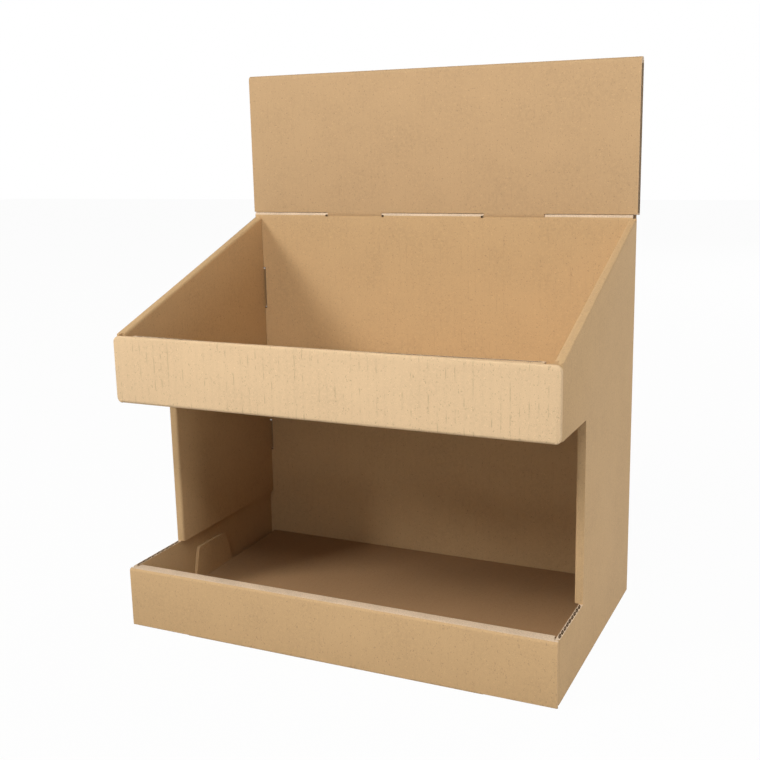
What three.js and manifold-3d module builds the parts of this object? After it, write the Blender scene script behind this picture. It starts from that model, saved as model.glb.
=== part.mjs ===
// Two tier counter display box folded from kraft corrugated board.
//
// Millimetres, +Z up, +X to the right of someone facing the box, +Y towards its back.
// The drawing is laid out with Y = 0 on the front face and Z = 0 on the table. The group
// at the end moves it back by half its depth, so its origin is the middle of its footprint.
//
// Pieces
//   body         one folded sheet: back, bottom, rolled front wall and two doubled sides
//   header_flap  the folded over header that swings on the crease at the top of the back
//   shelf_tray   one folded sheet: deep fascia, doubled shelf and upstand behind the fascia
//   floor_pad    a loose sheet that covers the bottom

import * as THREE from 'three';
import { mergeVertices } from 'three/addons/utils/BufferGeometryUtils.js';
import Module from 'manifold-3d';

const wasm = await Module();
wasm.setup();

// Board and fit
const BOARD = 3;
const CLEARANCE = 0.3;
const PLY_SLACK = 0.5;
const FOLD_RADIUS = 2.5;

// Overall size
const WIDTH = 350;
const DEPTH = 219;
const HINGE_HEIGHT = 313.5;
const TOTAL_HEIGHT = 437.5;

// Side outline
const SIDE_FOOT = 1.2;
const NOTCH_DEPTH = 66.4;
const TRAY_HEIGHT = 49;
const NOSE_BOTTOM = 186;
const SLOPE_FRONT = 237.4;
const SLOPE_REAR = 312.2;
const LINER_FOOT = 49.2;

// Front wall of the lower tray
const FRONT_WALL = 11.5;
const FRONT_END_SETBACK = 4.2;
const TRAY_FLAP_LENGTH = 60;
const LOCK_HALF_WIDTH = 122;
const FOLD_RELIEF = 1;

// Ears that stand inside the sides
const EAR_FRONT = 79;
const EAR_REAR = 141;
const EAR_HEIGHT = 36;
const EAR_TOP_FRONT = 88;
const EAR_TOP_REAR = 131;
const EAR_CORNER = 8;

// Tabs of the side liners and their slots in the back
const TAB_LENGTH = 2.7;
const SLOT_SIDE_ROOM = 1.9;
const SLOT_END_ROOM = 1.5;
const UPPER_SLOT_FOOT = 227.5;
const UPPER_SLOT_TOP = 266;
const LOWER_SLOT_FOOT = 90;
const LOWER_SLOT_TOP = 120;

// Upper shelf and fascia
const FASCIA_OVERHANG = 0.4;
const FASCIA_TOP = 237;
const FASCIA_CORNER = 4.5;
const SHELF_HEIGHT = 184.8;
const UPSTAND_HALF_WIDTH = 161.4;
const UPSTAND_TOP = 236.4;
const NOSE_FLAP_LENGTH = 40;
const NOSE_FLAP_TOP = 222;

// How far the top of the upstand leans, from its left end to its right end
const UPSTAND_LEAN_FORWARD = -3.1;
const UPSTAND_SPRING_BACK = 3.5;
const LEAN_START = -131;
const LEAN_FULL = -95;
const LEAN_END = 20;

// Header and its hinge
const HEADER_OVERHANG = 0.7;
const HEADER_GAP = 2;
const HEADER_RADIUS = 3;
const HINGE_INSET = 0.5;
const CREASE_INNER = 47;
const CREASE_OUTER = 100;
const TIP_HALF_GAP = 0.2;
const TIP_HALF_FLAT = 0.12;
const FRONT_TAPER = 0.65;
const REAR_TAPER = 2.9;
const LIP_HEIGHT = 2.6;
const LIP_BEVEL = 0.8;
const SLIT_GAP = 0.8;
const LIP_END_SETBACK = 3;

// Loose floor pad
const PAD_REAR_LIFT = 2.4;

// Places worked out from the sizes above
const HALF_WIDTH = WIDTH / 2;
const SIDE_INSIDE = HALF_WIDTH - BOARD;
const LINER_OUTSIDE = SIDE_INSIDE - PLY_SLACK;
const LINER_INSIDE = LINER_OUTSIDE - BOARD;
const BACK_FRONT = DEPTH - BOARD;
const SIDE_START = BOARD + CLEARANCE;
const FLAP_REAR = SIDE_START + BOARD;
const LINER_FRONT = FLAP_REAR + 2 * CLEARANCE;
const LINER_REAR = BACK_FRONT - CLEARANCE;
const BOTTOM_HALF = SIDE_INSIDE - CLEARANCE;
const EAR_INSIDE = BOTTOM_HALF - BOARD;
const FRONT_INNER_HALF = HALF_WIDTH - FRONT_END_SETBACK;
const SHELF_HALF = SIDE_INSIDE - 2 * CLEARANCE;
const SHELF_REAR = BACK_FRONT - 2 * CLEARANCE;
const LOWER_SHELF_TOP = SHELF_HEIGHT + BOARD;
const UPPER_SHELF_FOOT = LOWER_SHELF_TOP + PLY_SLACK;
const UPPER_SHELF_TOP = UPPER_SHELF_FOOT + BOARD;
const UPSTAND_FRONT = FLAP_REAR + CLEARANCE;
const LOWER_LINER_TOP = SHELF_HEIGHT - CLEARANCE;
const UPPER_LINER_FOOT = UPPER_SHELF_TOP + CLEARANCE;
const HINGE_Y = BACK_FRONT + HINGE_INSET;
const LIP_TOP = HINGE_HEIGHT + LIP_HEIGHT;
const HEADER_FOOT = LIP_TOP + SLIT_GAP;
const HEADER_REAR = DEPTH + HEADER_GAP + BOARD;
const HEADER_HALF = HALF_WIDTH + HEADER_OVERHANG;

const SLOPE = (SLOPE_REAR - SLOPE_FRONT) / (BACK_FRONT - SIDE_START);
const BAND_DROP = BOARD * Math.hypot(1, SLOPE);
const FAR = 2 * TOTAL_HEIGHT;
const WELD = BOARD / 6;

// How finely curves are cut into facets
const FOLD_FACETS = 5;
const UPSTAND_COLUMNS = 28;
const UPSTAND_ROWS = 5;
const SAME_POINT = 1e-4;

const kraft = new THREE.Color(0xc9a57a);
const kraftShade = new THREE.Color(0xb8956b);

// Height of the sloping top edge of a side at a distance from the front face
function slopeHeight(y) {
  return SLOPE_FRONT + SLOPE * (y - SIDE_START);
}

// A closed outline from corners [u, v] or [u, v, radius]
function outline(corners) {
  const shape = new THREE.Shape();
  corners.forEach(([u, v, radius = 0], index) => {
    const corner = new THREE.Vector2(u, v);
    const before = corners[(index + corners.length - 1) % corners.length];
    const after = corners[(index + 1) % corners.length];
    const arrive = new THREE.Vector2(before[0], before[1]).sub(corner).setLength(radius).add(corner);
    const leave = new THREE.Vector2(after[0], after[1]).sub(corner).setLength(radius).add(corner);
    if (index === 0) {
      shape.moveTo(arrive.x, arrive.y);
    } else {
      shape.lineTo(arrive.x, arrive.y);
    }
    if (radius > 0) {
      shape.quadraticCurveTo(corner.x, corner.y, leave.x, leave.y);
    }
  });
  return shape;
}

// Turns a closed three.js geometry into a solid that can be joined and cut
function toSolid(geometry) {
  geometry.deleteAttribute('normal');
  geometry.deleteAttribute('uv');
  const merged = mergeVertices(geometry, SAME_POINT);
  const vertProperties = new Float32Array(merged.attributes.position.array);
  const triVerts = new Uint32Array(merged.index.array);
  return new wasm.Manifold(new wasm.Mesh({ numProp: 3, vertProperties, triVerts }));
}

// Extrudes an outline of corners along one axis, between two places on that axis.
// The outline is drawn in Y, Z for x, in X, Z for y and in X, Y for z.
function extrude(axis, corners, from, to) {
  const settings = { depth: to - from, bevelEnabled: false, curveSegments: FOLD_FACETS };
  const geometry = new THREE.ExtrudeGeometry(outline(corners), settings);
  const turn = new THREE.Matrix4();
  if (axis === 'x') {
    geometry.translate(0, 0, from);
    turn.set(0, 0, 1, 0, 1, 0, 0, 0, 0, 1, 0, 0, 0, 0, 0, 1);
  }
  if (axis === 'y') {
    geometry.translate(0, 0, -to);
    turn.set(1, 0, 0, 0, 0, 0, -1, 0, 0, 1, 0, 0, 0, 0, 0, 1);
  }
  if (axis === 'z') {
    geometry.translate(0, 0, from);
  }
  geometry.applyMatrix4(turn);
  return toSolid(geometry);
}

// A box between two corners
function block(x0, x1, y0, y1, z0, z1) {
  const geometry = new THREE.BoxGeometry(x1 - x0, y1 - y0, z1 - z0);
  geometry.translate((x0 + x1) / 2, (y0 + y1) / 2, (z0 + z1) / 2);
  return toSolid(geometry);
}

// The same two places on the right (side = 1) or on the left (side = -1), lowest first
function mirrored(side, inner, outer) {
  return side > 0 ? [inner, outer] : [-outer, -inner];
}

function joinAll(solids) {
  return solids.reduce((sum, next) => sum.add(next));
}

function cutAll(solid, tools) {
  return tools.reduce((rest, tool) => rest.subtract(tool), solid);
}

function toMesh(name, solid, color) {
  const cut = solid.getMesh();
  const geometry = new THREE.BufferGeometry();
  const positions = new Float32Array(cut.triVerts.length * 3);
  cut.triVerts.forEach((vertex, index) => {
    const start = vertex * cut.numProp;
    positions.set(cut.vertProperties.subarray(start, start + 3), index * 3);
  });
  geometry.setAttribute('position', new THREE.BufferAttribute(positions, 3));
  geometry.computeVertexNormals();
  const material = new THREE.MeshStandardMaterial({ color, roughness: 0.9, metalness: 0 });
  const mesh = new THREE.Mesh(geometry, material);
  mesh.name = name;
  return mesh;
}

// Back and both outer sides, bent round the two rear corners
function wrap() {
  const plan = [
    [-HALF_WIDTH, SIDE_START, FOLD_RADIUS],
    [-SIDE_INSIDE, SIDE_START],
    [-SIDE_INSIDE, BACK_FRONT],
    [SIDE_INSIDE, BACK_FRONT],
    [SIDE_INSIDE, SIDE_START],
    [HALF_WIDTH, SIDE_START, FOLD_RADIUS],
    [HALF_WIDTH, DEPTH, FOLD_RADIUS],
    [-HALF_WIDTH, DEPTH, FOLD_RADIUS],
  ];
  const aboveSlope = [
    [-BOARD, slopeHeight(-BOARD)],
    [BACK_FRONT, SLOPE_REAR],
    [BACK_FRONT, FAR],
    [-BOARD, FAR],
  ];
  return cutAll(extrude('z', plan, SIDE_FOOT, LIP_TOP), [
    extrude('x', aboveSlope, -FAR, FAR),
    block(-FAR, FAR, -BOARD, NOTCH_DEPTH, TRAY_HEIGHT, NOSE_BOTTOM),
  ]);
}

// The line where the header swings: crushed creases between lips that a slit sets free
function hingeCuts() {
  const tip = HINGE_HEIGHT - TIP_HALF_GAP;
  const aboveCrease = [
    [BACK_FRONT - WELD, tip - FRONT_TAPER - WELD],
    [HINGE_Y - TIP_HALF_FLAT, tip],
    [HINGE_Y + TIP_HALF_FLAT, tip],
    [DEPTH + WELD, tip - REAR_TAPER - WELD],
    [DEPTH + WELD, FAR],
    [BACK_FRONT - WELD, FAR],
  ];
  const frontBevel = [
    [BACK_FRONT - WELD, LIP_TOP - LIP_BEVEL - WELD],
    [BACK_FRONT + LIP_BEVEL + WELD, LIP_TOP + WELD],
    [BACK_FRONT - WELD, LIP_TOP + WELD],
  ];
  const rearBevel = [
    [DEPTH + WELD, LIP_TOP - LIP_BEVEL - WELD],
    [DEPTH + WELD, LIP_TOP + WELD],
    [DEPTH - LIP_BEVEL - WELD, LIP_TOP + WELD],
  ];
  const cuts = [
    extrude('x', frontBevel, -FAR, FAR),
    extrude('x', rearBevel, -FAR, FAR),
  ];
  for (const side of [-1, 1]) {
    const [creaseStart, creaseEnd] = mirrored(side, CREASE_INNER, CREASE_OUTER);
    const [endStart, endStop] = mirrored(side, HALF_WIDTH - LIP_END_SETBACK, FAR);
    cuts.push(extrude('x', aboveCrease, creaseStart, creaseEnd));
    cuts.push(block(endStart, endStop, SIDE_START, DEPTH + WELD, HINGE_HEIGHT, FAR));
  }
  return cuts;
}

// Bottom and the rolled front wall, seen from the side
function bottomAndFront() {
  const section = [
    [DEPTH, 0, FOLD_RADIUS],
    [DEPTH, TRAY_HEIGHT],
    [BACK_FRONT, TRAY_HEIGHT],
    [BACK_FRONT, BOARD + PAD_REAR_LIFT + 2 * CLEARANCE],
    [BACK_FRONT - PAD_REAR_LIFT - 2 * CLEARANCE, BOARD],
    [BOARD, BOARD],
    [BOARD, TRAY_HEIGHT - BOARD],
    [FRONT_WALL - BOARD, TRAY_HEIGHT - BOARD],
    [FRONT_WALL - BOARD, BOARD + CLEARANCE],
    [FRONT_WALL, BOARD + CLEARANCE],
    [FRONT_WALL, TRAY_HEIGHT, FOLD_RADIUS],
    [0, TRAY_HEIGHT, FOLD_RADIUS],
    [0, 0, FOLD_RADIUS],
  ];
  const cuts = [];
  for (const side of [-1, 1]) {
    const [edge, outside] = mirrored(side, BOTTOM_HALF, FAR);
    cuts.push(block(edge, outside, BOARD, DEPTH + WELD, -WELD, FAR));
    const [wallEdge, wallOutside] = mirrored(side, FRONT_INNER_HALF, FAR);
    cuts.push(block(wallEdge, wallOutside, 2 * BOARD, FRONT_WALL + WELD, BOARD, FAR));
    const [relief, reliefEnd] = mirrored(side, LOCK_HALF_WIDTH, FAR);
    cuts.push(block(relief, reliefEnd, -WELD, FOLD_RADIUS, -WELD, FOLD_RELIEF));
  }
  return cutAll(extrude('x', section, -HALF_WIDTH, HALF_WIDTH), cuts);
}

// An ear of the bottom that stands against the inside of a side
function ear(side) {
  const shape = [
    [EAR_FRONT, WELD],
    [EAR_REAR, WELD],
    [EAR_TOP_REAR, EAR_HEIGHT, EAR_CORNER],
    [EAR_TOP_FRONT, EAR_HEIGHT, EAR_CORNER / 4],
  ];
  return extrude('x', shape, ...mirrored(side, EAR_INSIDE, BOTTOM_HALF));
}

// Flaps at the front of a side, tucked behind the front wall and behind the fascia
function frontFlaps(side) {
  const tray = mirrored(side, SIDE_INSIDE - TRAY_FLAP_LENGTH, SIDE_INSIDE + WELD);
  const nose = mirrored(side, SIDE_INSIDE - NOSE_FLAP_LENGTH, SIDE_INSIDE + WELD);
  const trayFoot = BOARD + CLEARANCE;
  const trayTop = TRAY_HEIGHT - BOARD - CLEARANCE;
  const noseFoot = LOWER_SHELF_TOP + CLEARANCE;
  return [
    block(...tray, SIDE_START, FLAP_REAR, trayFoot, trayTop),
    block(...nose, SIDE_START, FLAP_REAR, noseFoot, NOSE_FLAP_TOP),
  ];
}

// The part of a side that is rolled over its sloping edge and over the edge of the notch
function liner(side) {
  const inner = mirrored(side, LINER_INSIDE, LINER_OUTSIDE);
  const band = mirrored(side, LINER_INSIDE, SIDE_INSIDE + WELD);
  const upper = [
    [LINER_FRONT, UPPER_LINER_FOOT],
    [LINER_REAR, UPPER_LINER_FOOT],
    [LINER_REAR, slopeHeight(LINER_REAR)],
    [LINER_FRONT, slopeHeight(LINER_FRONT)],
  ];
  const slopeBand = [
    [LINER_FRONT, slopeHeight(LINER_FRONT) - BAND_DROP],
    [LINER_REAR, slopeHeight(LINER_REAR) - BAND_DROP],
    [LINER_REAR, slopeHeight(LINER_REAR)],
    [LINER_FRONT, slopeHeight(LINER_FRONT)],
  ];
  const tabFront = LINER_REAR - WELD;
  const tabRear = BACK_FRONT + TAB_LENGTH;
  return [
    extrude('x', upper, ...inner),
    extrude('x', slopeBand, ...band),
    block(...inner, NOTCH_DEPTH, LINER_REAR, LINER_FOOT, LOWER_LINER_TOP),
    block(...band, NOTCH_DEPTH, NOTCH_DEPTH + BOARD, LINER_FOOT, LOWER_LINER_TOP),
    block(...inner, tabFront, tabRear, UPPER_SLOT_FOOT + SLOT_END_ROOM, UPPER_SLOT_TOP - SLOT_END_ROOM),
    block(...inner, tabFront, tabRear, LOWER_SLOT_FOOT + SLOT_END_ROOM, LOWER_SLOT_TOP - SLOT_END_ROOM),
  ];
}

// Slots in the back for the tabs of one liner
function tabSlots(side) {
  const slot = mirrored(side, LINER_INSIDE - SLOT_SIDE_ROOM, LINER_OUTSIDE + CLEARANCE);
  return [
    block(...slot, BACK_FRONT - WELD, DEPTH + WELD, UPPER_SLOT_FOOT, UPPER_SLOT_TOP),
    block(...slot, BACK_FRONT - WELD, DEPTH + WELD, LOWER_SLOT_FOOT, LOWER_SLOT_TOP),
  ];
}

function body() {
  const sides = [-1, 1];
  const shell = joinAll([wrap(), bottomAndFront()]);
  const open = cutAll(shell, [...hingeCuts(), ...sides.flatMap(tabSlots)]);
  return joinAll([open, ...sides.map(ear), ...sides.flatMap(frontFlaps), ...sides.flatMap(liner)]);
}

// Header folded over at its top, with two tongues that reach down to the creases
function headerFlap() {
  const fold = [
    [BACK_FRONT, HEADER_FOOT],
    [DEPTH, HEADER_FOOT],
    [DEPTH, TOTAL_HEIGHT - BOARD],
    [DEPTH + HEADER_GAP, TOTAL_HEIGHT - BOARD],
    [DEPTH + HEADER_GAP, HEADER_FOOT],
    [HEADER_REAR, HEADER_FOOT],
    [HEADER_REAR, TOTAL_HEIGHT, HEADER_RADIUS],
    [BACK_FRONT, TOTAL_HEIGHT, HEADER_RADIUS],
  ];
  const tip = HINGE_HEIGHT + TIP_HALF_GAP;
  const tongue = [
    [BACK_FRONT, HEADER_FOOT + WELD],
    [BACK_FRONT, tip + FRONT_TAPER],
    [HINGE_Y - TIP_HALF_FLAT, tip],
    [HINGE_Y + TIP_HALF_FLAT, tip],
    [DEPTH, tip + REAR_TAPER],
    [DEPTH, HEADER_FOOT + WELD],
  ];
  return joinAll([
    extrude('x', fold, -HEADER_HALF, HEADER_HALF),
    extrude('x', tongue, ...mirrored(-1, CREASE_INNER + CLEARANCE, CREASE_OUTER - CLEARANCE)),
    extrude('x', tongue, ...mirrored(1, CREASE_INNER + CLEARANCE, CREASE_OUTER - CLEARANCE)),
  ]);
}

// How far the upstand's top edge stands from upright at a place along the box
function lean(x) {
  const { clamp, mapLinear } = THREE.MathUtils;
  if (x < LEAN_END) {
    return clamp(mapLinear(x, LEAN_START, LEAN_FULL, 0, UPSTAND_LEAN_FORWARD), UPSTAND_LEAN_FORWARD, 0);
  }
  return mapLinear(x, LEAN_END, UPSTAND_HALF_WIDTH, UPSTAND_LEAN_FORWARD, UPSTAND_SPRING_BACK);
}

// Springy upstand behind the fascia
function upstand() {
  const foot = UPPER_SHELF_TOP - WELD;
  const height = UPSTAND_TOP - foot;
  const geometry = new THREE.BoxGeometry(
    2 * UPSTAND_HALF_WIDTH, BOARD, height, UPSTAND_COLUMNS, 1, UPSTAND_ROWS,
  );
  geometry.translate(0, UPSTAND_FRONT + BOARD / 2, foot + height / 2);
  const place = geometry.attributes.position;
  for (let index = 0; index < place.count; index += 1) {
    const rise = (place.getZ(index) - foot) / height;
    place.setY(index, place.getY(index) + rise * lean(place.getX(index)));
  }
  return toSolid(geometry);
}

// Fascia, doubled shelf and upstand
function shelfTray() {
  const fasciaHalf = HALF_WIDTH + FASCIA_OVERHANG;
  const fascia = [
    [-fasciaHalf, SHELF_HEIGHT, FASCIA_CORNER],
    [fasciaHalf, SHELF_HEIGHT, FASCIA_CORNER],
    [fasciaHalf, FASCIA_TOP, FASCIA_CORNER],
    [-fasciaHalf, FASCIA_TOP, FASCIA_CORNER],
  ];
  const shelf = [
    [0, SHELF_HEIGHT, FOLD_RADIUS],
    [SHELF_REAR, SHELF_HEIGHT, FOLD_RADIUS],
    [SHELF_REAR, UPPER_SHELF_TOP, FOLD_RADIUS],
    [UPSTAND_FRONT, UPPER_SHELF_TOP],
    [UPSTAND_FRONT, UPPER_SHELF_FOOT, FOLD_RADIUS],
    [SHELF_REAR - BOARD, UPPER_SHELF_FOOT],
    [SHELF_REAR - BOARD, LOWER_SHELF_TOP],
    [BOARD, LOWER_SHELF_TOP],
    [BOARD, SHELF_HEIGHT + 2 * BOARD],
    [0, SHELF_HEIGHT + 2 * BOARD],
  ];
  const underFold = [
    [-WELD, SHELF_HEIGHT - WELD],
    [FOLD_RADIUS, SHELF_HEIGHT - WELD],
    [FOLD_RADIUS, SHELF_HEIGHT + FOLD_RADIUS],
    [-WELD, SHELF_HEIGHT + FOLD_RADIUS],
  ];
  const front = extrude('y', fascia, 0, BOARD);
  const opened = front.subtract(extrude('x', underFold, -SHELF_HALF, SHELF_HALF));
  return joinAll([opened, extrude('x', shelf, -SHELF_HALF, SHELF_HALF), upstand()]);
}

// Loose pad: its front edge lies on the bottom, its rear edge rides up on the rear fold
function floorPad() {
  const front = FRONT_WALL + CLEARANCE;
  const rear = BACK_FRONT - 2 * CLEARANCE;
  const half = EAR_INSIDE - CLEARANCE;
  const foot = BOARD + CLEARANCE;
  const section = [
    [front, foot],
    [rear, foot + PAD_REAR_LIFT],
    [rear, foot + PAD_REAR_LIFT + BOARD],
    [front, foot + BOARD],
  ];
  return extrude('x', section, -half, half);
}

const box = new THREE.Group();
box.add(toMesh('body', body(), kraft));
box.add(toMesh('header_flap', headerFlap(), kraft));
box.add(toMesh('shelf_tray', shelfTray(), kraft));
box.add(toMesh('floor_pad', floorPad(), kraftShade));
box.position.y = -HEADER_REAR / 2;

export default box;
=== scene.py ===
"""Two tier counter display box in kraft corrugated board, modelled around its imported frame."""

import math

import bpy
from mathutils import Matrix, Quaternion, Vector


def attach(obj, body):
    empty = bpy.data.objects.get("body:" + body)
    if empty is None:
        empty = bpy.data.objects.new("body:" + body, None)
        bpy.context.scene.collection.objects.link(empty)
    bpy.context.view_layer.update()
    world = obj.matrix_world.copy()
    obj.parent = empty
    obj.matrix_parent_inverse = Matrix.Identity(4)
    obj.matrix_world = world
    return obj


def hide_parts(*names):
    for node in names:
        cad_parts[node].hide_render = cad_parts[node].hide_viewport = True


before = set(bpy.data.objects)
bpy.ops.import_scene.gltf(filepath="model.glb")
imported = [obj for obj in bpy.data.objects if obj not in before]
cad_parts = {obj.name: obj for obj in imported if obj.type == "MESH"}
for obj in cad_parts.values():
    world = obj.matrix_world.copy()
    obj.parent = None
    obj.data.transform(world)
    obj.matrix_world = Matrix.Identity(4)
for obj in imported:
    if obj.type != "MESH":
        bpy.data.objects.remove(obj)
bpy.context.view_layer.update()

# Pieces are modelled in millimetres, with Y counted from the front face of the box
MM = 0.001
FRONT_Y = -112

# Board: one ply, the play between folded parts, and the slack between the plies of a side
BOARD = 3
CLEARANCE = 0.3
PLY_SLACK = 0.5

# Help for the booleans: an overlap, a hair between flush faces, and a reach past the box
WELD = 0.5
HAIR = 0.04
FAR = 900

# How near to a place an edge or a face counts as being there
NEAR = 0.05
UP_NEAR = 0.1
SIDE_NEAR = 0.15
FACING = 0.9

# Flutes: pitch, half the height and depth of an open cell, and the channel of an edge along them
FLUTE_PITCH = 6.36
FLUTE_HALF_HEIGHT = 1.05
FLUTE_DEPTH = 7
EDGE_GROOVE = 1.2
CELL_MARGIN = 1
GROOVE_STOP = 5

# Folds
FOLD_FACETS = 4
ROLL_FACETS = 3
FOLD_RADIUS = 2.5
REAR_CORNER_RADIUS = 2.8
ROLL_RADIUS = 1.8
RIM_RADIUS = 2.2
FRONT_RADIUS = 2.0
HEADER_FOLD_RADIUS = 3.4
FASCIA_CORNER_RADIUS = 4.5
FASCIA_EDGE_RADIUS = 1.1
SMOOTH_ANGLE = math.radians(35)

# Sizes of the frame's solids
WIDTH = 350
DEPTH = 219
HINGE_HEIGHT = 313.5
TOTAL_HEIGHT = 437.5
SIDE_FOOT = 1.2
NOTCH_DEPTH = 66.4
TRAY_HEIGHT = 49
NOSE_BOTTOM = 186
SLOPE_FRONT = 237.4
SLOPE_REAR = 312.2
LINER_FOOT = 49.2
FRONT_WALL = 11.5
SHELF_HEIGHT = 184.8
FASCIA_TOP = 237
FASCIA_OVERHANG = 0.4
UPSTAND_TOP = 236.4
UPSTAND_HALF = 161.4
HINGE_SETBACK = 0.5
LIP_HEIGHT = 2.6
SLIT_GAP = 0.8
HEADER_PLY_GAP = 2
HEADER_OVERHANG = 0.7
REAR_PLY_DROP = 0.6
PAD_RISE = 2.4

# Places that follow from them
HALF_WIDTH = WIDTH / 2
SIDE_INSIDE = HALF_WIDTH - BOARD
LINER_OUTSIDE = SIDE_INSIDE - PLY_SLACK
LINER_INSIDE = LINER_OUTSIDE - BOARD
BACK_FRONT = DEPTH - BOARD
SIDE_START = BOARD + CLEARANCE
FLAP_REAR = SIDE_START + BOARD
LINER_FRONT = FLAP_REAR + 2 * CLEARANCE
LINER_REAR = BACK_FRONT - CLEARANCE
BOTTOM_HALF = SIDE_INSIDE - CLEARANCE
PAD_HALF = BOTTOM_HALF - BOARD - CLEARANCE
LOWER_LINER_TOP = SHELF_HEIGHT - CLEARANCE
SHELF_HALF = SIDE_INSIDE - 2 * CLEARANCE
SHELF_REAR = BACK_FRONT - 2 * CLEARANCE
SHELF_TOP = SHELF_HEIGHT + 2 * BOARD + PLY_SLACK
UPPER_LINER_FOOT = SHELF_TOP + CLEARANCE
UPSTAND_FRONT = FLAP_REAR + CLEARANCE
HINGE_Y = BACK_FRONT + HINGE_SETBACK
LIP_TOP = HINGE_HEIGHT + LIP_HEIGHT
HEADER_FOOT = LIP_TOP + SLIT_GAP
HEADER_REAR_FOOT = HEADER_FOOT - REAR_PLY_DROP
HEADER_REAR = DEPTH + HEADER_PLY_GAP + BOARD
HEADER_HALF = HALF_WIDTH + HEADER_OVERHANG
SLOPE = (SLOPE_REAR - SLOPE_FRONT) / (BACK_FRONT - SIDE_START)

# The two uncut creases of the hinge line, and how their tips taper towards its axis
CREASES = ((-100, -47), (47, 100))
TIP_GAP = 0.2
TIP_HALF_FLAT = 0.12
FRONT_TAPER = 0.65
REAR_TAPER = 2.9
BEAD_RADIUS = 0.45
BEAD_SIDES = 8

# Top of a lip, from the hinge axis: the cut faces the front, and the lip just clears the header
LIP_LINE = ((-1.0, 0.4), (-0.5, 0.9), (0.35, 3.2), (1.0, 3.12), (1.9, 2.7), (2.5, 2.15), (3.0, 1.6))
LIP_FACE_START = 0.8
LIP_FACING = 0.2

# Crushed pockets at the ends of the slits and at the right end of the hinge line, whose faces carry
# painted shade
SLIT_ENDS = (-101.2, -45.9, 45.7)
SLIT_END_LEFT = 0.9
SLIT_END_RIGHT = 1.1
SLIT_END_DEPTH = 2.2
SLIT_END_FOOT = 0.4
SLIT_END_TOP = 1.4
CORNER_POCKET = 1.9

# Lower tray: the rise of the rear fold, the gap beside the wall's ends, and the cut under its ends
REAR_LIFT = 3
WALL_END_GAP = 4.2
FOOT_CUT_START = 122
FOOT_CUT_DEPTH = 2.5
FOOT_CUT_HEIGHT = 1
RIM_CELLS = (FLAP_REAR + 0.4, NOTCH_DEPTH - 0.6)

# Ear of the bottom, from its front foot round to its front top: Y, Z and the corner's radius
EAR = ((79, WELD), (141, WELD), (131, 36, 8), (88, 36, 2))

# Flaps at the front of a side: their lengths and the top of the upper one
TRAY_FLAP = 60
NOSE_FLAP = 40
NOSE_FLAP_TOP = 222

# Tabs of a liner and their slots in the back: foot and top of each
TABS = ((229, 264.5), (91.5, 118.5))
TAB_REACH = 2.7
SLOTS = ((227.5, 266), (90, 120))
SLOT_GAP = 1.9
SLOT_DEPTH = 2.3
SLOT_SHOULDER = 1

# Lean of the upstand's top along its length: most between the bend and the turn
LEAN_MOST = -3.1
LEAN_START = -131
LEAN_BEND = 36
LEAN_TURN = 20
LEAN_BACK = 6.6
LEAN_BACK_RUN = 141.4
UPSTAND_COLUMN = 11.5
UPSTAND_ROW = 9


def slope_height(y):
    """Height of the sloping top edge of a side."""
    return SLOPE_FRONT + SLOPE * (y - SIDE_START)


def both(side, inner, outer):
    """The same two places on the right (1) or on the left (-1), lowest first."""
    return (inner, outer) if side > 0 else (-outer, -inner)


# Modelling


def clear_selection():
    for other in bpy.context.selected_objects:
        other.select_set(False)


def make_active(piece):
    clear_selection()
    piece.select_set(True)
    bpy.context.view_layer.objects.active = piece


def place(axis, u, v, along):
    """A point of a section that is drawn across one axis."""
    x, y, z = {"x": (along, u, v), "y": (u, along, v), "z": (u, v, along)}[axis]
    return Vector((x, y + FRONT_Y, z))


def pick(piece, kind, wanted):
    """Selects the vertices or edges that pass a test on their places, and stays in edit mode."""
    bpy.ops.object.mode_set(mode="EDIT")
    bpy.ops.mesh.select_mode(type=kind)
    bpy.ops.mesh.select_all(action="DESELECT")
    bpy.ops.object.mode_set(mode="OBJECT")
    mesh = piece.data
    if kind == "VERT":
        for vertex in mesh.vertices:
            vertex.select = wanted(vertex.co)
    if kind == "EDGE":
        for edge in mesh.edges:
            a, b = (mesh.vertices[index].co for index in edge.vertices)
            edge.select = wanted(a, b)
    bpy.ops.object.mode_set(mode="EDIT")


def pick_spots(piece, spots):
    """Selects the vertices that lie on any of some points."""
    pick(piece, "VERT", lambda vertex: any((vertex - spot).length < HAIR for spot in spots))


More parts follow.
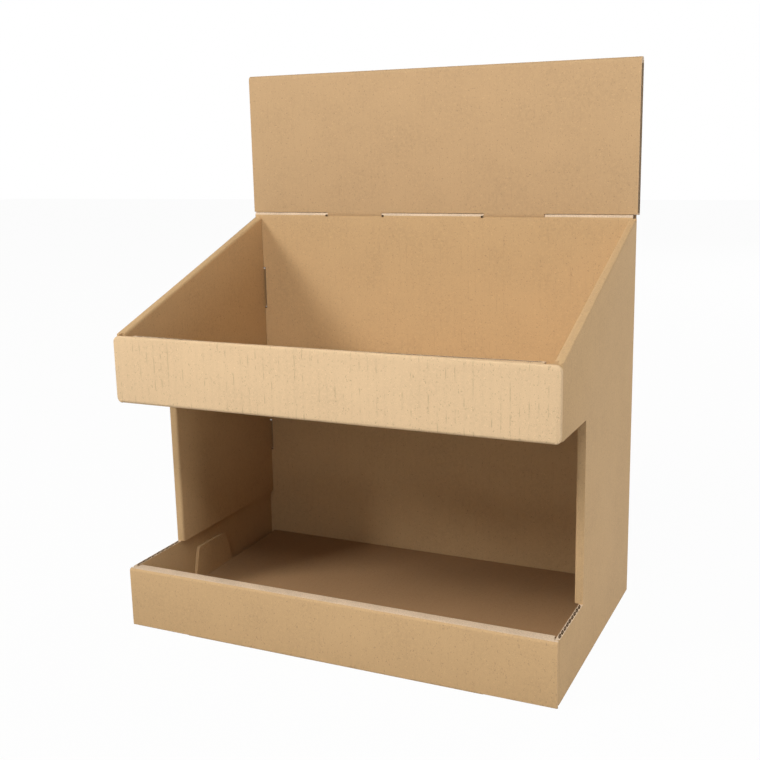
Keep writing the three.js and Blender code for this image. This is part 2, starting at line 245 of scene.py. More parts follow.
def board_section(axis, corners, start, stop):
    """Draws an outline point by point, rounds its corners, fills it and pulls it along an axis."""
    clear_selection()
    points = [place(axis, corner[0], corner[1], start) for corner in corners]
    bpy.ops.mesh.primitive_plane_add(size=1, location=points[0])
    piece = bpy.context.object
    bpy.ops.object.transform_apply(location=True)
    bpy.ops.object.mode_set(mode="EDIT")
    bpy.ops.mesh.select_mode(type="VERT")
    bpy.ops.mesh.select_all(action="SELECT")
    bpy.ops.mesh.merge(type="CENTER")
    for before, after in zip(points, points[1:]):
        bpy.ops.mesh.extrude_region_move(TRANSFORM_OT_translate={"value": after - before})

    # The outline is closed with an edge before it is filled
    pick_spots(piece, (points[0], points[-1]))
    bpy.ops.mesh.edge_face_add()
    bpy.ops.mesh.select_all(action="SELECT")
    bpy.ops.mesh.edge_face_add()
    for radius in sorted({corner[2] for corner in corners if len(corner) > 2}):
        pick_spots(piece, [p for p, corner in zip(points, corners) if corner[2:] == (radius,)])
        bpy.ops.mesh.bevel(offset=radius, segments=FOLD_FACETS, affect="VERTICES")
    bpy.ops.mesh.select_mode(type="FACE")
    bpy.ops.mesh.select_all(action="SELECT")
    run = place(axis, 0, 0, stop) - place(axis, 0, 0, start)
    bpy.ops.mesh.extrude_region_move(TRANSFORM_OT_translate={"value": run})
    bpy.ops.mesh.select_all(action="SELECT")
    bpy.ops.mesh.normals_make_consistent(inside=False)
    bpy.ops.object.mode_set(mode="OBJECT")
    return piece


def block(x0, x1, y0, y1, z0, z1):
    """A plain length of board between two corners, to weld on or to cut with."""
    clear_selection()
    centre = place("x", (y0 + y1) / 2, (z0 + z1) / 2, (x0 + x1) / 2)
    bpy.ops.mesh.primitive_cube_add(size=1, location=centre, scale=(x1 - x0, y1 - y0, z1 - z0))
    bpy.ops.object.transform_apply(location=True, scale=True)
    return bpy.context.object


def round_edges(piece, width, wanted):
    """Bevels the edges whose two ends pass the test, in millimetres from the front face."""

    def chosen(a, b):
        return all(wanted(p.x, p.y - FRONT_Y, p.z) for p in (a, b))

    make_active(piece)
    pick(piece, "EDGE", chosen)
    bpy.ops.mesh.bevel(offset=width, segments=ROLL_FACETS, affect="EDGES")
    bpy.ops.object.mode_set(mode="OBJECT")
    return piece


def combine(piece, tools, operation):
    """Welds tools to a piece or cuts them from it, and removes them."""
    make_active(piece)
    for tool in tools:
        change = piece.modifiers.new("combine", "BOOLEAN")
        change.operation = operation
        change.solver = "EXACT"
        change.material_mode = "TRANSFER"
        change.object = tool
        bpy.ops.object.modifier_apply(modifier=change.name)
        bpy.data.objects.remove(tool)
    return piece


def weld(piece, *parts):
    return combine(piece, parts, "UNION")


def cut(piece, *tools):
    return combine(piece, tools, "DIFFERENCE")


def paint(piece, finish):
    """Gives a piece or a cutting tool the finish that its faces keep."""
    piece.data.materials.append(FINISH[finish])
    return piece


def repeat(piece, step, count):
    """Copies a piece in a row."""
    make_active(piece)
    row = piece.modifiers.new("row", "ARRAY")
    row.count = count
    row.use_relative_offset = False
    row.use_constant_offset = True
    row.constant_offset_displace = step
    bpy.ops.object.modifier_apply(modifier=row.name)
    return piece


def join(pieces):
    make_active(pieces[0])
    for piece in pieces[1:]:
        piece.select_set(True)
    bpy.ops.object.join()
    return bpy.context.object


# Hollow of one flute, as shares of the pitch and of half its height
HOLLOW = (
    (-0.4, 1),
    (-0.33, 0.6),
    (-0.215, 0),
    (-0.1, -0.66),
    (0.1, -0.66),
    (0.215, 0),
    (0.33, 0.6),
    (0.4, 1),
)


def flute_hollows(run_axis, start, stop, middle, edge, inward):
    """The open flutes of a level raw edge. They go into the board from the edge, up (1) or down
    (-1), and repeat along run_axis between two places, with the board's middle plane at middle."""
    count = max(1, int((stop - start) / FLUTE_PITCH))
    first = (start + stop - (count - 1) * FLUTE_PITCH) / 2 - FLUTE_PITCH / 4
    near, far = sorted((edge - inward * WELD, edge + inward * FLUTE_DEPTH))
    step = {"x": (FLUTE_PITCH, 0, 0), "y": (0, FLUTE_PITCH, 0)}[run_axis]
    rows = []
    for turn, shift in ((1, 0), (-1, FLUTE_PITCH / 2)):
        corners = []
        for share, rise in HOLLOW:
            along = first + shift + share * FLUTE_PITCH
            across = middle + turn * rise * FLUTE_HALF_HEIGHT
            corners.append((along, across) if run_axis == "x" else (across, along))
        rows.append(repeat(board_section("z", corners, near, far), step, count))
    # The cells carry the dark flute finish, which is painted shade.
    return paint(join(rows), "shaded_hollow")


def edge_groove(run, across, edge, inward):
    """The channel between the two liners along an upright raw edge that runs with the flutes."""
    near, far = sorted((edge - inward * WELD, edge + inward * EDGE_GROOVE))
    front, rear = across - FLUTE_HALF_HEIGHT, across + FLUTE_HALF_HEIGHT
    # The channel carries the dark flute finish, which is painted shade.
    return paint(block(near, far, front, rear, *run), "shaded_hollow")


def slice_across(piece, axis, start, stop, step):
    """Divides a piece at equal steps, so that it can bow."""
    make_active(piece)
    bpy.ops.object.mode_set(mode="EDIT")
    normal = {"x": (1, 0, 0), "z": (0, 0, 1)}[axis]
    for index in range(1, int((stop - start) / step) + 1):
        bpy.ops.mesh.select_all(action="SELECT")
        bpy.ops.mesh.bisect(plane_co=Vector(normal) * (start + step * index), plane_no=normal)
    bpy.ops.object.mode_set(mode="OBJECT")


# Materials


class Value:
    """A socket that numbers and other sockets can be added to, taken from or multiplied with."""

    def __init__(self, nodes, socket):
        self.nodes = nodes
        self.socket = socket

    def maths(self, operation, first, second):
        made = self.nodes.add("ShaderNodeMath", {"operation": operation}, {0: first, 1: second})
        return Value(self.nodes, made.outputs[0])

    def __add__(self, other):
        return self.maths("ADD", self, other)

    def __sub__(self, other):
        return self.maths("SUBTRACT", self, other)

    def __rsub__(self, other):
        return self.maths("SUBTRACT", other, self)

    def __mul__(self, other):
        return self.maths("MULTIPLY", self, other)

    __rmul__ = __mul__

    def __gt__(self, other):
        return self.maths("GREATER_THAN", self, other)

    def wave(self):
        return self.maths("SINE", self, 0)

    def size(self):
        return self.maths("ABSOLUTE", self, 0)


class Nodes:
    """The nodes of a material or of the world, made from an empty tree."""

    def __init__(self, owner):
        owner.use_nodes = True
        self.owner = owner
        self.tree = owner.node_tree
        self.tree.nodes.clear()

    def add(self, kind, settings, sockets):
        """Adds a node, sets it up and feeds its sockets."""
        node = self.tree.nodes.new(kind)
        for key, value in settings.items():
            setattr(node, key, value)
        for key, value in sockets.items():
            source = value.socket if isinstance(value, Value) else value
            if isinstance(source, bpy.types.NodeSocket):
                self.tree.links.new(source, node.inputs[key])
            else:
                node.inputs[key].default_value = source
        return node

    def value(self, kind, settings, sockets):
        return Value(self, self.add(kind, settings, sockets).outputs[0])

    def object_place(self):
        return self.add("ShaderNodeTexCoord", {}, {}).outputs["Object"]

    def noise(self, spot, scale, detail, roughness):
        sockets = {"Vector": spot, "Scale": scale, "Detail": detail, "Roughness": roughness}
        return self.value("ShaderNodeTexNoise", {}, sockets)

    def stretched(self, spot, scale):
        """The same place with its axes stretched."""
        return self.add("ShaderNodeMapping", {}, {"Vector": spot, "Scale": scale}).outputs[0]

    def step(self, value, low, high):
        """0 below low, 1 above high, and smooth between."""
        settings = {"interpolation_type": "SMOOTHSTEP"}
        return self.value("ShaderNodeMapRange", settings, {0: value, 1: low, 2: high})

    def mix(self, factor, first, second, blend="MIX"):
        settings = {"data_type": "RGBA", "blend_type": blend}
        sockets = {0: factor, 6: first, 7: second}
        return self.add("ShaderNodeMix", settings, sockets).outputs[2]

    def unlit_rays(self):
        """1 for the rays that see the plain white background."""
        path = self.add("ShaderNodeLightPath", {}, {}).outputs
        seen = Value(self, path["Is Camera Ray"])
        mirrored = Value(self, path["Is Glossy Ray"])
        through = Value(self, path["Is Transmission Ray"])
        return seen + mirrored + through

    def board(self, colour, roughness, height, distance):
        """Closes the material with a dull, slightly rough surface."""
        bump_sockets = {"Strength": 1.0, "Distance": distance, "Height": height}
        bump = self.add("ShaderNodeBump", {}, bump_sockets)
        sockets = {
            "Base Color": colour,
            "Roughness": roughness,
            "Specular IOR Level": BOARD_SPECULAR,
            "Normal": bump.outputs[0],
        }
        shader = self.add("ShaderNodeBsdfPrincipled", {}, sockets)
        self.add("ShaderNodeOutputMaterial", {}, {"Surface": shader.outputs[0]})
        return self.owner


# Patterns of the liner and of cut edges: scale, detail and roughness of each noise
CLOUDS = (26, 4, 0.55)
MOTTLE = (420, 3, 0.6)
GRAIN = (1500, 2, 0.6)
DARK_SPECKS = (760, 2, 0.5)
PALE_SPECKS = (900, 1, 0.5)
DASHES = (330, 2, 0.6)
EDGE_FIBRES = (900, 3, 0.6)
EDGE_CLOUDS = (60, 2, 0.5)

# How the grain, the specks and the dashes are stretched
GRAIN_STRETCH = (1.0, 1.0, 1.7)
SPECK_STRETCH = (1.3, 1.3, 0.9)
DASH_STRETCH = (1.0, 1.0, 0.3)

# Depth of the bump, and the gloss of the paper
LINER_BUMP = 0.12 * MM
EDGE_BUMP = 0.2 * MM
BOARD_SPECULAR = 0.28


def tint(base, share):
    """A colour made darker or paler, with its alpha."""
    return (*[min(1, channel * share) for channel in base], 1)


def kraft_liner(name, base, streak):
    """Uncoated kraft liner: soft clouds, fibres, specks, and streaks where the flutes show."""
    finish = Nodes(bpy.data.materials.new(name))
    spot = finish.object_place()
    normal = finish.add("ShaderNodeNewGeometry", {}, {}).outputs["True Normal"]
    parts = finish.add("ShaderNodeSeparateXYZ", {}, {0: spot}).outputs
    faces = finish.add("ShaderNodeSeparateXYZ", {}, {0: normal}).outputs

    # The flutes repeat across a face: along Y on the sides, along X on the front, back and shelf
    sideways = Value(finish, faces["X"]).size() > 0.7
    across = sideways * Value(finish, parts["Y"]) + (1 - sideways) * Value(finish, parts["X"])
    ridges = (across * (2 * math.pi / (FLUTE_PITCH * MM))).wave()
    valley = finish.step(ridges, 0.9, 1.0)

    clouds = finish.noise(spot, *CLOUDS)
    mottle = finish.noise(spot, *MOTTLE)
    grain = finish.noise(finish.stretched(spot, GRAIN_STRETCH), *GRAIN)
    dark_noise = finish.noise(finish.stretched(spot, SPECK_STRETCH), *DARK_SPECKS)
    dark_specks = finish.step(dark_noise, 0.63, 0.72)
    pale_specks = finish.step(finish.noise(spot, *PALE_SPECKS), 0.66, 0.76)
    dash_noise = finish.noise(finish.stretched(spot, DASH_STRETCH), *DASHES)
    dashes = finish.step(dash_noise, 0.5, 0.66)

    fibre = tint(base, 0.45)
    colour = finish.mix(clouds, tint(base, 0.8), tint(base, 1.1))
    colour = finish.mix(finish.step(mottle, 0.3, 0.7), colour, tint(base, 1))
    shade = ((grain - 0.5) * 0.35 + 1) * (1 - 0.008 * streak * ridges)
    grey = {0: shade, 1: shade, 2: shade}
    tone = finish.add("ShaderNodeCombineColor", {}, grey).outputs[0]
    colour = finish.mix(1.0, colour, tone, "MULTIPLY")
    colour = finish.mix(dark_specks * 0.5, colour, fibre)
    colour = finish.mix(pale_specks * 0.35, colour, tint(base, 1.4))
    colour = finish.mix(valley * dashes * (0.45 * streak), colour, fibre)

    roughness = mottle * 0.12 + 0.74
    height = grain * 0.5 + mottle * 0.5 + ridges * (0.05 * streak) - dark_specks * 0.3
    return finish.board(colour, roughness, height, LINER_BUMP)


def raw_edge(name, base, dark_share):
    """Cut board: paler torn fibres, or the brown inside of the flutes, darkened with painted shade.
    """
    finish = Nodes(bpy.data.materials.new(name))
    spot = finish.object_place()
    fibres = finish.noise(spot, *EDGE_FIBRES)
    clouds = finish.noise(spot, *EDGE_CLOUDS)
    patches = finish.step(fibres * 0.7 + clouds * 0.3, 0.35, 0.65)
    colour = finish.mix(patches, tint(base, dark_share), tint(base, 1))
    return finish.board(colour, fibres * 0.1 + 0.82, fibres, EDGE_BUMP)


FINISH = {
    "body": kraft_liner("kraft body liner", (0.54, 0.36, 0.186), 0.3),
    # The shelf sheet's paler, less saturated tone is partly its own board and partly painted light,
    # for the strong light on the fascia.
    "fascia": kraft_liner("kraft fascia liner with painted light", (0.66, 0.478, 0.288), 1.0),
    "header": kraft_liner("kraft header liner", (0.485, 0.322, 0.172), 0.25),
    # The pad's darker brown is painted shade: it stands for the shade on the floor of the lower
    # tray.
    "pad": kraft_liner("kraft pad liner with painted shade", (0.33, 0.2, 0.1), 0.3),
    "edge": raw_edge("cut board edge", (0.72, 0.56, 0.4), 0.75),
    # Flute cells, slots, grooves and pockets get this dark brown: painted shade of these hollows.
    "shaded_hollow": raw_edge("inside of the flutes with painted shade", (0.3, 0.19, 0.1), 0.55),
}


# Body sheet


def side_sheet():
    """Back and both outer sides, bent round the rear corners, cut to the slope and the notch."""
    plan = [
        (-HALF_WIDTH, SIDE_START, FOLD_RADIUS),
        (-SIDE_INSIDE, SIDE_START),
        (-SIDE_INSIDE, BACK_FRONT),
        (SIDE_INSIDE, BACK_FRONT),
        (SIDE_INSIDE, SIDE_START),
        (HALF_WIDTH, SIDE_START, FOLD_RADIUS),
        (HALF_WIDTH, DEPTH, REAR_CORNER_RADIUS),
        (-HALF_WIDTH, DEPTH, REAR_CORNER_RADIUS),
    ]
    above = [
        (-BOARD, slope_height(-BOARD)),
        (BACK_FRONT, SLOPE_REAR),
        (BACK_FRONT, FAR),
        (-BOARD, FAR),
    ]
    sheet = board_section("z", plan, SIDE_FOOT, LIP_TOP + 1)
    cut(sheet, board_section("x", above, -FAR, FAR))
    cut(sheet, block(-FAR, FAR, -BOARD, NOTCH_DEPTH, TRAY_HEIGHT, NOSE_BOTTOM))

    def folded(x, y, z):
        on_slope = abs(z - slope_height(y)) < NEAR and y < BACK_FRONT + NEAR
        beside_notch = TRAY_HEIGHT < z + NEAR < NOSE_BOTTOM + 2 * NEAR
        on_notch = abs(y - NOTCH_DEPTH) < NEAR and beside_notch
        return abs(x) > HALF_WIDTH - NEAR and (on_slope or on_notch)

    return round_edges(sheet, ROLL_RADIUS, folded)


def crease_bead(start, stop):
    """The crushed liner on the hinge axis, which joins the two sides of a crease."""
    ring = []
    for step in range(BEAD_SIDES):
        turn = math.radians(360 / BEAD_SIDES * (step + 0.5))
        y = HINGE_Y + BEAD_RADIUS * math.cos(turn)
        ring.append((y, HINGE_HEIGHT + BEAD_RADIUS * math.sin(turn)))
    return board_section("x", ring, start, stop)


def hinge_slits(sheet):
    """Crushed creases between raised lips that the slits set free."""
    front, rear = BACK_FRONT - WELD, DEPTH + WELD
    tip = HINGE_HEIGHT - TIP_GAP
    above_lip = [
        *[(HINGE_Y + y, HINGE_HEIGHT + z) for y, z in LIP_LINE],
        (rear, FAR),
        (front, FAR),
    ]
    above_crease = [
        (front, tip - FRONT_TAPER - WELD),
        (HINGE_Y - TIP_HALF_FLAT, tip),
        (HINGE_Y + TIP_HALF_FLAT, tip),
        (rear, tip - REAR_TAPER - WELD),
        (rear, FAR),
        (front, FAR),
    ]
    cut(sheet, board_section("x", above_lip, -FAR, FAR))
    for start, stop in CREASES:
        cut(sheet, board_section("x", above_crease, start, stop))
        weld(sheet, crease_bead(start + CLEARANCE, stop - CLEARANCE))
    inside = HALF_WIDTH - BOARD + HAIR
    pocket = block(inside, FAR, SIDE_START, BACK_FRONT + CORNER_POCKET, HINGE_HEIGHT, FAR)
    cut(sheet, paint(pocket, "shaded_hollow"))
    foot, top = HINGE_HEIGHT - SLIT_END_FOOT, HINGE_HEIGHT + SLIT_END_TOP
    for x in SLIT_ENDS:
        ends = (x - SLIT_END_LEFT, x + SLIT_END_RIGHT)
        hole = block(*ends, front, BACK_FRONT + SLIT_END_DEPTH, foot, top)
        cut(sheet, paint(hole, "shaded_hollow"))


def bottom_and_front():
    """Bottom and the rolled front wall of the lower tray."""
    section = [
        (DEPTH, 0, FOLD_RADIUS),
        (DEPTH, TRAY_HEIGHT),
        (BACK_FRONT, TRAY_HEIGHT),
        (BACK_FRONT, BOARD + REAR_LIFT),
        (BACK_FRONT - REAR_LIFT, BOARD),
        (BOARD, BOARD),
        (BOARD, TRAY_HEIGHT - BOARD),
        (FRONT_WALL - BOARD, TRAY_HEIGHT - BOARD),
        (FRONT_WALL - BOARD, BOARD + CLEARANCE),
        (FRONT_WALL, BOARD + CLEARANCE),
        (FRONT_WALL, TRAY_HEIGHT, FRONT_RADIUS),
        (0, TRAY_HEIGHT, RIM_RADIUS),
        (0, 0, FRONT_RADIUS),
    ]
    piece = board_section("x", section, -HALF_WIDTH, HALF_WIDTH)
    for side in (-1, 1):
        beside = both(side, BOTTOM_HALF, FAR)
        wall_end = both(side, HALF_WIDTH - WALL_END_GAP, FAR)
        foot_end = both(side, FOOT_CUT_START, FAR)
        cut(piece, block(*beside, BOARD, DEPTH + WELD, -WELD, FAR))
        cut(piece, block(*wall_end, 2 * BOARD, FRONT_WALL + WELD, BOARD, FAR))
        cut(piece, block(*foot_end, -WELD, FOOT_CUT_DEPTH, -WELD, FOOT_CUT_HEIGHT))
    return piece


def ear(side):
    """Ear of the bottom that stands against the inside of a side."""
    return board_section("x", EAR, *both(side, BOTTOM_HALF - BOARD, BOTTOM_HALF - HAIR))


def front_flaps(side):
    """Flaps tucked behind the front wall and behind the fascia."""
    tray = both(side, SIDE_INSIDE - TRAY_FLAP, SIDE_INSIDE + WELD)
    nose = both(side, SIDE_INSIDE - NOSE_FLAP, SIDE_INSIDE + WELD)
    tray_top = TRAY_HEIGHT - BOARD - CLEARANCE
    nose_foot = SHELF_HEIGHT + BOARD + CLEARANCE
    return [
        block(*tray, SIDE_START + HAIR, FLAP_REAR, BOARD + CLEARANCE, tray_top),
        block(*nose, SIDE_START + HAIR, FLAP_REAR, nose_foot, NOSE_FLAP_TOP),
    ]


def upper_liner(side):
    """The part of a side that is rolled over its slope."""
    inner = both(side, LINER_INSIDE, LINER_OUTSIDE)
    band = both(side, LINER_INSIDE, SIDE_INSIDE + WELD)
    top_front = slope_height(LINER_FRONT) - HAIR
    top_rear = slope_height(LINER_REAR) - HAIR
    drop = BOARD * math.hypot(1, SLOPE)
    sheet = [
        (LINER_FRONT, UPPER_LINER_FOOT),
        (LINER_REAR, UPPER_LINER_FOOT),
        (LINER_REAR, top_rear),
        (LINER_FRONT, top_front),
    ]
    roll = [
        (LINER_FRONT, top_front - drop),
        (LINER_REAR, top_rear - drop),
        (LINER_REAR, top_rear),
        (LINER_FRONT, top_front),
    ]
    piece = weld(board_section("x", sheet, *inner), board_section("x", roll, *band))

    def inner_fold(x, y, z):
        on_slope = abs(z - slope_height(y)) < 2 * HAIR
        return abs(abs(x) - LINER_INSIDE) < NEAR and on_slope

    return round_edges(piece, ROLL_RADIUS, inner_fold)


def lower_liner(side):
    """The part of a side that is rolled over the edge of the notch."""
    front = NOTCH_DEPTH + HAIR
    plan = [
        (side * LINER_INSIDE, front, ROLL_RADIUS),
        (side * (SIDE_INSIDE + WELD), front),
        (side * (SIDE_INSIDE + WELD), front + BOARD),
        (side * LINER_OUTSIDE, front + BOARD),
        (side * LINER_OUTSIDE, LINER_REAR),
        (side * LINER_INSIDE, LINER_REAR),
    ]
    return board_section("z", plan, LINER_FOOT, LOWER_LINER_TOP)


def liner_tabs(side):
    span = both(side, LINER_INSIDE + HAIR, LINER_OUTSIDE - HAIR)
    reach = (LINER_REAR - WELD, BACK_FRONT + TAB_REACH)
    return [block(*span, *reach, foot, top) for foot, top in TABS]


def tab_slots(side):
    """Slots in the back: wide in front, and as wide as the tab in the outer liner; their faces
    carry painted shade.
    """
    wide = both(side, LINER_INSIDE - SLOT_GAP, LINER_OUTSIDE + CLEARANCE)
    narrow = both(side, LINER_INSIDE - CLEARANCE / 2, LINER_OUTSIDE + CLEARANCE)
    through = (BACK_FRONT, DEPTH + WELD)
    slots = []
    for foot, top in SLOTS:
        slots.append(block(*wide, BACK_FRONT - WELD, BACK_FRONT + SLOT_DEPTH, foot, top))
        slots.append(block(*narrow, *through, foot + SLOT_SHOULDER, top - SLOT_SHOULDER))
    return [paint(slot, "shaded_hollow") for slot in slots]


def body_sheet():
    """Back, sides, bottom and front wall, with the liners, ears, tabs and flaps folded in."""
    sheet = paint(weld(side_sheet(), bottom_and_front()), "body")
    for side in (-1, 1):
        cut(sheet, *tab_slots(side))
    hinge_slits(sheet)
    for side in (-1, 1):
        weld(sheet, ear(side), *front_flaps(side))
        weld(sheet, upper_liner(side), lower_liner(side), *liner_tabs(side))
        ply = side * (HALF_WIDTH - BOARD / 2)
        cut(sheet, flute_hollows("y", *RIM_CELLS, ply, TRAY_HEIGHT, -1))
    sheet.name = "body_sheet"
    return sheet


# Header


def header_sheet():
    """Header folded over at its top, with two tongues that reach down to the creases."""
    rear_ply = DEPTH + HEADER_PLY_GAP
    fold = [
        (BACK_FRONT, HEADER_FOOT),
        (DEPTH, HEADER_FOOT),
        (DEPTH, TOTAL_HEIGHT - BOARD),
        (rear_ply, TOTAL_HEIGHT - BOARD),
        (rear_ply, HEADER_REAR_FOOT),
        (HEADER_REAR, HEADER_REAR_FOOT),
        (HEADER_REAR, TOTAL_HEIGHT, HEADER_FOLD_RADIUS),
        (BACK_FRONT, TOTAL_HEIGHT, HEADER_FOLD_RADIUS),
    ]
    tip = HINGE_HEIGHT + TIP_GAP
    tongue = [
        (BACK_FRONT, HEADER_FOOT + WELD),
        (BACK_FRONT, tip + FRONT_TAPER),
        (HINGE_Y - TIP_HALF_FLAT, tip),
        (HINGE_Y + TIP_HALF_FLAT, tip),
        (DEPTH, tip + REAR_TAPER),
        (DEPTH, HEADER_FOOT + WELD),
    ]
    piece = paint(board_section("x", fold, -HEADER_HALF, HEADER_HALF), "header")
    cells = (CELL_MARGIN - HEADER_HALF, HEADER_HALF - CELL_MARGIN)
    groove = (HEADER_FOOT + CELL_MARGIN, TOTAL_HEIGHT - GROOVE_STOP)
    plies = (
        (BACK_FRONT + BOARD / 2, HEADER_FOOT),
        (HEADER_REAR - BOARD / 2, HEADER_REAR_FOOT),
    )
    for middle, foot in plies:
        cut(piece, flute_hollows("x", *cells, middle, foot, 1))
        for side in (-1, 1):
            cut(piece, edge_groove(groove, middle, side * HEADER_HALF, -side))
    for start, stop in CREASES:
        weld(piece, board_section("x", tongue, start + CLEARANCE, stop - CLEARANCE))
    piece.name = "header_sheet"
    return piece


# Shelf tray


def lean(x):
    """How far the top of the upstand stands from upright."""
    if x < LEAN_TURN:
        return max(LEAN_MOST, min(0, LEAN_MOST * (x - LEAN_START) / LEAN_BEND))
    return LEAN_MOST + LEAN_BACK * (x - LEAN_TURN) / LEAN_BACK_RUN


def upstand():
    """Springy upstand behind the fascia: a flat sheet that is bent column by column."""
    half, foot = UPSTAND_HALF, SHELF_TOP - WELD
    span = (-half, half, UPSTAND_FRONT, UPSTAND_FRONT + BOARD, foot, UPSTAND_TOP)
    piece = paint(block(*span), "fascia")
    cells = (CELL_MARGIN - half, half - CELL_MARGIN)
    cut(piece, flute_hollows("x", *cells, UPSTAND_FRONT + BOARD / 2, UPSTAND_TOP, -1))
    slice_across(piece, "x", -half, half, UPSTAND_COLUMN)
    slice_across(piece, "z", foot, UPSTAND_TOP, UPSTAND_ROW)
    for vertex in piece.data.vertices:
        rise = (vertex.co.z - foot) / (UPSTAND_TOP - foot)
        vertex.co.y += rise * lean(vertex.co.x)
    return piece


def shelf_sheet():
    """Fascia, doubled shelf and upstand."""
    half = HALF_WIDTH + FASCIA_OVERHANG
    fascia = [
        (-half, SHELF_HEIGHT, FASCIA_CORNER_RADIUS),
        (half, SHELF_HEIGHT, FASCIA_CORNER_RADIUS),
        (half, FASCIA_TOP, FASCIA_CORNER_RADIUS),
        (-half, FASCIA_TOP, FASCIA_CORNER_RADIUS),
    ]
    shelf = [
        (0, SHELF_HEIGHT, FOLD_RADIUS),
        (SHELF_REAR, SHELF_HEIGHT, FOLD_RADIUS),
        (SHELF_REAR, SHELF_TOP, FOLD_RADIUS),
        (UPSTAND_FRONT, SHELF_TOP),
        (UPSTAND_FRONT, SHELF_TOP - BOARD, FOLD_RADIUS),
        (SHELF_REAR - BOARD, SHELF_TOP - BOARD),
        (SHELF_REAR - BOARD, SHELF_HEIGHT + BOARD),
        (BOARD, SHELF_HEIGHT + BOARD),
        (BOARD, SHELF_HEIGHT + 2 * BOARD),
        (0, SHELF_HEIGHT + 2 * BOARD),
    ]
    under = [
        (-WELD, SHELF_HEIGHT - WELD),
        (FOLD_RADIUS, SHELF_HEIGHT - WELD),
        (FOLD_RADIUS, SHELF_HEIGHT + FOLD_RADIUS),
        (-WELD, SHELF_HEIGHT + FOLD_RADIUS),
    ]
    piece = paint(board_section("y", fascia, 0, BOARD), "fascia")
    round_edges(piece, FASCIA_EDGE_RADIUS, lambda x, y, z: y < NEAR)
    cut(piece, board_section("x", under, -SHELF_HALF, SHELF_HALF))
    weld(piece, board_section("x", shelf, -SHELF_HALF, SHELF_HALF), upstand())
    piece.name = "shelf_sheet"
    return piece


# Pad


def pad_sheet():
    """Loose pad whose rear edge rides up on the rear fold."""
    front, rear = FRONT_WALL + CLEARANCE, BACK_FRONT - 2 * CLEARANCE
    foot = BOARD + CLEARANCE
    section = [
        (front, foot),
        (rear, foot + PAD_RISE),
        (rear, foot + PAD_RISE + BOARD),
        (front, foot + BOARD),
    ]
    piece = board_section("x", section, -PAD_HALF, PAD_HALF)
    piece.name = "floor_sheet"
    return piece


# Finishing


def edge_up(height):
    """Test for the raw edges that lie level at a height."""
    return lambda x, y, z, normal: abs(z - height) < UP_NEAR and abs(normal.z) > FACING


def edge_side(offset):
    """Test for the raw edges that face the left or right at a distance from the middle."""
    return lambda x, y, z, normal: abs(abs(x) - offset) < SIDE_NEAR and abs(normal.x) > FACING


def lip_face(x, y, z, normal):
    """Test for the cut tops of the hinge line's lips."""
    on_lip = z > HINGE_HEIGHT + LIP_FACE_START and y > BACK_FRONT - UP_NEAR
    return on_lip and normal.z > LIP_FACING


def dress(piece, finish, body, node, raw_edges):
    """Gives a finished sheet its materials and puts it in the frame."""
    shaded_hollow = piece.data.materials.find(FINISH["shaded_hollow"].name)
    in_hollow = [face.material_index == shaded_hollow for face in piece.data.polygons]
    piece.data.materials.clear()
    for name in (finish, "shaded_hollow", "edge"):
        paint(piece, name)
    liner_slot, hollow_slot, edge_slot = range(3)
    for face, is_hollow in zip(piece.data.polygons, in_hollow):
        x, y, z = face.center.x, face.center.y - FRONT_Y, face.center.z
        is_raw = any(test(x, y, z, face.normal) for test in raw_edges)
        face.material_index = hollow_slot if is_hollow else edge_slot if is_raw else liner_slot
    make_active(piece)
    bpy.ops.object.shade_smooth_by_angle(angle=SMOOTH_ANGLE)
    piece.scale = (MM, MM, MM)
    bpy.ops.object.transform_apply(scale=True)
    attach(piece, body)
    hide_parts(node)


header_edges = [edge_up(HEADER_FOOT), edge_up(HEADER_REAR_FOOT), edge_side(HEADER_HALF)]
body = body_sheet()
dress(body, "body", "box", "body", [lip_face, edge_up(TRAY_HEIGHT)])
header = header_sheet()
dress(header, "header", "header", "header_flap", header_edges)
shelf = shelf_sheet()
dress(shelf, "fascia", "box", "shelf_tray", [edge_up(UPSTAND_TOP)])
pad = pad_sheet()
dress(pad, "pad", "box", "floor_pad", [edge_side(PAD_HALF)])


# Studio, in metres

FLOOR_SIZE = 12
FLOOR_GREY = (0.6, 0.6, 0.6, 1)
FLOOR_WHITE_SHARE = 0.97
WHITE = (1, 1, 1, 1)
SOFT_SKY = (1.0, 0.98, 0.96, 1)
SOFT_SKY_STRENGTH = 0.03
BOX_MIDDLE = Vector((0, 0, 0.2))
WARM = (1, 0.98, 0.95)
COOL = (1, 0.99, 0.98)

# Name, azimuth (0 in front, 90 on the right), elevation, distance, size, watts and colour
LAMPS = (
    ("left key", -46, 32, 3.2, 1.0, 62, WARM),
    ("front key", 12, 50, 1.15, 0.4, 7.6, WARM),
    ("right fill", 90, 3, 1.5, 0.4, 8, COOL),
    ("rear fill", 168, 22, 3.0, 1.0, 40, COOL),
    ("low front", 5, 12, 1.3, 0.5, 2.2, (1, 0.98, 0.96)),
)

# Camera fitted to the box's corners in the photograph
PICTURE_WIDTH = 760
FOCAL_PIXELS = 1089
SENSOR_WIDTH = 36
CAMERA_SHIFT = (0.0042, -0.01)
CAMERA_PLACE = Vector((0.355, -0.768, 0.377))
CAMERA_TARGET = Vector((-0.0003, -0.012, 0.2007))
CAMERA_ROLL = math.radians(1.28)


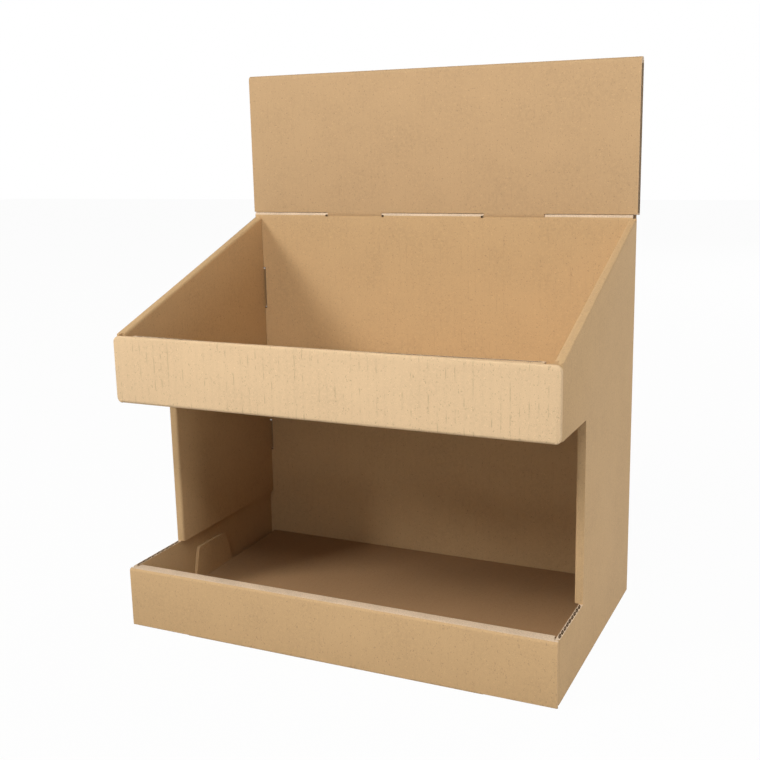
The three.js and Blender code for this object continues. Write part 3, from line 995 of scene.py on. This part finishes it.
def studio_floor():
    """Pale floor that shows white and keeps a trace of the object's shadow."""
    clear_selection()
    bpy.ops.mesh.primitive_plane_add(size=FLOOR_SIZE, location=(0, 0, 0))
    floor = bpy.context.object
    floor.name = "studio_floor"
    finish = Nodes(bpy.data.materials.new("studio floor"))
    share = finish.unlit_rays() * FLOOR_WHITE_SHARE
    matte = finish.add("ShaderNodeBsdfDiffuse", {}, {"Color": FLOOR_GREY})
    white = finish.add("ShaderNodeEmission", {}, {"Color": WHITE, "Strength": 1.0})
    shaders = {0: share, 1: matte.outputs[0], 2: white.outputs[0]}
    mixed = finish.add("ShaderNodeMixShader", {}, shaders)
    finish.add("ShaderNodeOutputMaterial", {}, {"Surface": mixed.outputs[0]})
    floor.data.materials.append(finish.owner)


def studio_world():
    """White backdrop, and a faint soft light from all round."""
    world = bpy.data.worlds.new("studio")
    bpy.context.scene.world = world
    sky = Nodes(world)
    soft_sockets = {"Color": SOFT_SKY, "Strength": SOFT_SKY_STRENGTH}
    soft = sky.add("ShaderNodeBackground", {}, soft_sockets)
    backdrop = sky.add("ShaderNodeBackground", {}, {"Color": WHITE, "Strength": 1.0})
    shaders = {0: sky.unlit_rays(), 1: soft.outputs[0], 2: backdrop.outputs[0]}
    mixed = sky.add("ShaderNodeMixShader", {}, shaders)
    sky.add("ShaderNodeOutputWorld", {}, {"Surface": mixed.outputs[0]})


def add_lamp(name, azimuth, elevation, distance, size, watts, colour):
    """A square soft box that looks at the middle of the box."""
    turn, rise = math.radians(azimuth), math.radians(elevation)
    level = math.cos(rise)
    way = Vector((math.sin(turn) * level, -math.cos(turn) * level, math.sin(rise)))
    light = bpy.data.lights.new(name, "AREA")
    light.shape = "SQUARE"
    light.size = size
    light.energy = watts
    light.color = colour
    lamp = bpy.data.objects.new(name, light)
    bpy.context.scene.collection.objects.link(lamp)
    lamp.location = BOX_MIDDLE + way * distance
    lamp.rotation_mode = "QUATERNION"
    lamp.rotation_quaternion = way.to_track_quat("Z", "Y")


def add_camera():
    """The photograph's view."""
    data = bpy.data.cameras.new("camera")
    data.sensor_width = SENSOR_WIDTH
    data.lens = FOCAL_PIXELS / PICTURE_WIDTH * SENSOR_WIDTH
    data.shift_x, data.shift_y = CAMERA_SHIFT
    camera = bpy.data.objects.new("camera", data)
    bpy.context.scene.collection.objects.link(camera)
    look = CAMERA_TARGET - CAMERA_PLACE
    camera.location = CAMERA_PLACE
    camera.rotation_mode = "QUATERNION"
    camera.rotation_quaternion = Quaternion(look, CAMERA_ROLL) @ look.to_track_quat("-Z", "Y")
    bpy.context.scene.camera = camera


studio_floor()
studio_world()
for lamp_settings in LAMPS:
    add_lamp(*lamp_settings)
add_camera()
bpy.context.scene.view_settings.view_transform = "Standard"
